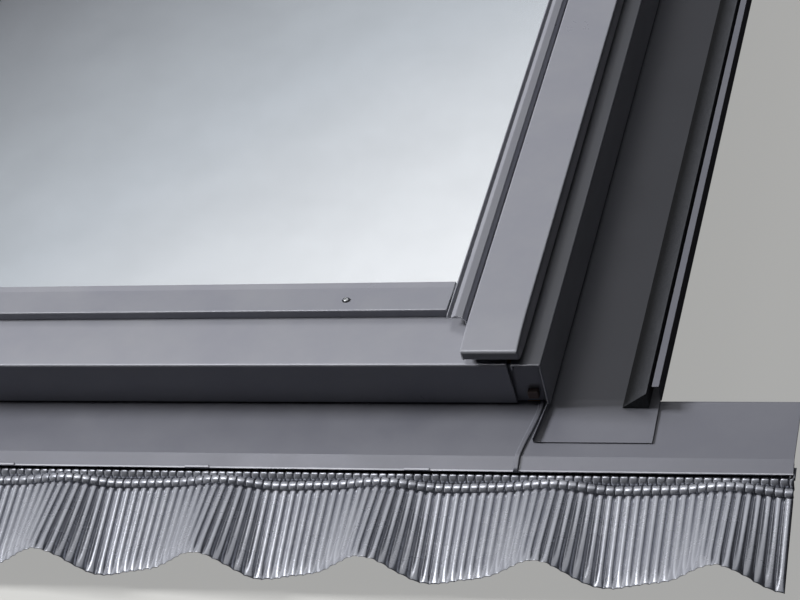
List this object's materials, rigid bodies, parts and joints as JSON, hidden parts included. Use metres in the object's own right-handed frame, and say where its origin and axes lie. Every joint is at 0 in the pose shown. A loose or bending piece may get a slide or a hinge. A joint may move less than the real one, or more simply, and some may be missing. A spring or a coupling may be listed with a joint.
{
  "type": "roof skylight",
  "caption": "Centre-pivot roof window: timber frame and sash, insulating glass, grey aluminium covers, flashing with a pleated wavy apron.",
  "frame": {"origin": "centre of the overall box, on the room side of the frame", "axes": "+Z outwards through the glass, +Y up the slope, +X to the right seen from outside"},
  "size_m": [1.19, 1.488, 0.153],
  "materials": {
    "pine": "clear lacquer",
    "lacquered_aluminium": "satin grey lacquer",
    "flashing_aluminium": "satin grey lacquer, darker",
    "pleated_aluminium": "satin grey lacquer",
    "glass": "clear, reflecting",
    "spacer_aluminium": "mill finish",
    "rubber": "matt black",
    "foam": "dark open-cell foam",
    "moulded_plastic": "dark brown",
    "galvanised_steel": "zinc",
    "steel": "zinc plated",
    "anodised_aluminium": "satin anodised"
  },
  "bodies": {
    "frame": {"frame_sill_rail": "pine", "frame_head_rail": "pine", "frame_stile_left": "pine", "frame_stile_right": "pine", "upper_side_cover_left": "lacquered_aluminium", "upper_side_cover_right": "lacquered_aluminium", "frame_side_cover_left": "lacquered_aluminium", "frame_side_cover_right": "lacquered_aluminium", "frame_sill_cover": "lacquered_aluminium", "hood": "lacquered_aluminium", "sill_flashing": "flashing_aluminium", "sill_corner_left": "flashing_aluminium", "sill_corner_right": "flashing_aluminium", "sill_seam_left": "flashing_aluminium", "sill_seam_right": "flashing_aluminium", "side_gutter_left": "flashing_aluminium", "side_gutter_right": "flashing_aluminium", "head_flashing": "flashing_aluminium", "hem_clips": "flashing_aluminium", "pleated_apron": "pleated_aluminium", "weather_seal": "rubber", "foam_strip_left": "foam", "foam_strip_right": "foam", "corner_clips": "moulded_plastic", "mounting_brackets": "galvanised_steel", "hinge_frame_plate_left": "galvanised_steel", "hinge_frame_plate_right": "galvanised_steel", "striker_plate": "galvanised_steel", "frame_plate_screws": "steel", "bracket_screws": "steel", "bolt_bushes": "steel"},
    "sash": {"sash_sill_rail": "pine", "sash_head_rail": "pine", "sash_stile_left": "pine", "sash_stile_right": "pine", "outer_pane": "glass", "inner_pane": "glass", "spacer_bar": "spacer_aluminium", "edge_seal": "rubber", "glazing_gasket": "rubber", "side_bead_left": "lacquered_aluminium", "side_bead_right": "lacquered_aluminium", "sill_bead": "lacquered_aluminium", "head_bead": "lacquered_aluminium", "bead_screws": "steel", "sash_sill_cover": "lacquered_aluminium", "sash_side_cover_left": "lacquered_aluminium", "sash_side_cover_right": "lacquered_aluminium", "hinge_sash_plate_left": "galvanised_steel", "hinge_sash_plate_right": "galvanised_steel", "hinge_studs": "steel", "sash_plate_screws": "steel", "bar_brackets": "moulded_plastic", "flap_clips": "moulded_plastic"},
    "control_bar": {"control_bar": "anodised_aluminium"},
    "ventilation_flap": {"ventilation_flap": "anodised_aluminium"},
    "latch": {"latch_tongue": "steel"},
    "barrel_bolt": {"barrel_bolt": "steel"}
  },
  "joints": [
    {"name": "sash_pivot", "type": "hinge", "parent": "frame", "child": "sash", "pos_m": [0, -0.004, 0.134], "axis": [-1, 0, 0], "range_deg": [0, 150]},
    {"name": "control_bar_pivot", "type": "hinge", "parent": "sash", "child": "control_bar", "pos_m": [0, 0.53, 0.032], "axis": [1, 0, 0], "range_deg": [-35, 0]},
    {"name": "flap_hinge", "type": "hinge", "parent": "sash", "child": "ventilation_flap", "pos_m": [0, 0.524, 0.0425], "axis": [1, 0, 0], "range_deg": [-35, 0]},
    {"name": "latch_slide", "type": "slide", "parent": "sash", "child": "latch", "axis": [0, 1, 0], "range_m": [0, 0.01]},
    {"name": "bolt_slide", "type": "slide", "parent": "sash", "child": "barrel_bolt", "axis": [1, 0, 0], "range_m": [0, 0.014]}
  ],
  "couplings": [
    {"joint": "flap_hinge", "follows": "control_bar_pivot", "ratio": 1},
    {"joint": "latch_slide", "follows": "control_bar_pivot", "m_per_rad": -0.01636}
  ]
}
